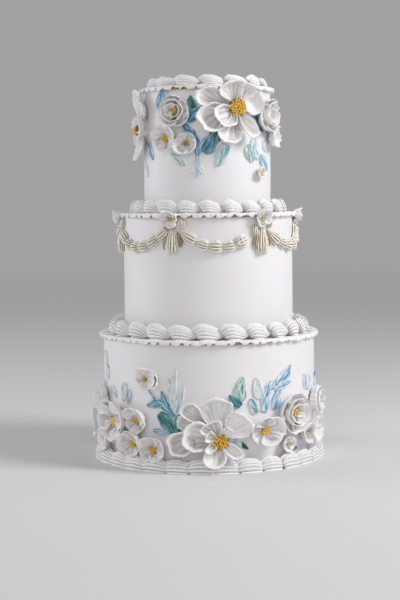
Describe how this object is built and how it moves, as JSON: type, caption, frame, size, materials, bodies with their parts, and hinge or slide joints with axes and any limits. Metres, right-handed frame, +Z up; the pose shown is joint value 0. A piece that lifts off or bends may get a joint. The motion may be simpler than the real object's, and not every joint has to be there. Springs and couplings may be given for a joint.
{
  "type": "tiered wedding cake",
  "caption": "Round three-tier cake in white buttercream with shell borders, a swag and tassel garland, and palette-knife flowers and leaves.",
  "frame": {"origin": "centre of the flat underside, which stands on a board or stand", "axes": "+Z up along the cake's axis; -Y is the front, with the largest flowers; +X to the right of the front"},
  "size_m": [0.2798, 0.2795, 0.4503],
  "materials": {
    "buttercream_white": "smooth matte buttercream with faint spatula marks",
    "piping_white": "finely ridged satin buttercream, white, with gold-brown touches in the lips' notches",
    "piping_champagne": "ridged ivory buttercream with muted gold in its grooves",
    "petal_white": "thick white buttercream petals with knife strokes and golden stamens",
    "leaf_blue": "streaky blue, teal and white buttercream knife strokes"
  },
  "bodies": {
    "root": {"tier_bottom": "buttercream_white", "lip_bottom": "piping_white", "tier_middle": "buttercream_white", "lip_middle": "piping_white", "tier_top": "buttercream_white", "lip_top": "piping_white", "border_base": "piping_white", "border_lower": "piping_white", "border_middle": "piping_white", "border_top": "piping_white", "flower_top_01": "petal_white", "flower_top_02": "petal_white", "flower_top_03": "petal_white", "flower_top_04": "petal_white", "flower_top_05": "petal_white", "flower_top_06": "petal_white", "flower_top_07": "petal_white", "flower_top_08": "petal_white", "flower_top_09": "petal_white", "flower_top_10": "petal_white", "flower_top_11": "petal_white", "flower_top_12": "petal_white", "flower_bottom_01": "petal_white", "flower_bottom_02": "petal_white", "flower_bottom_03": "petal_white", "flower_bottom_04": "petal_white", "flower_bottom_05": "petal_white", "flower_bottom_06": "petal_white", "flower_bottom_07": "petal_white", "flower_bottom_08": "petal_white", "flower_bottom_09": "petal_white", "flower_bottom_10": "petal_white", "flower_bottom_11": "petal_white", "flower_bottom_12": "petal_white", "flower_bottom_13": "petal_white", "flower_bottom_14": "petal_white", "flower_bottom_15": "petal_white", "flower_bottom_16": "petal_white", "flower_bottom_17": "petal_white", "flower_bottom_18": "petal_white", "flower_bottom_19": "petal_white", "flower_bottom_20": "petal_white", "swag_01": "piping_champagne", "tassel_01": "piping_champagne", "garland_flower_01": "petal_white", "swag_02": "piping_champagne", "tassel_02": "piping_champagne", "garland_flower_02": "petal_white", "swag_03": "piping_champagne", "tassel_03": "piping_champagne", "garland_flower_03": "petal_white", "swag_04": "piping_champagne", "tassel_04": "piping_champagne", "garland_flower_04": "petal_white", "swag_05": "piping_champagne", "tassel_05": "piping_champagne", "garland_flower_05": "petal_white", "swag_06": "piping_champagne", "tassel_06": "piping_champagne", "garland_flower_06": "petal_white"}
  },
  "joints": []
}
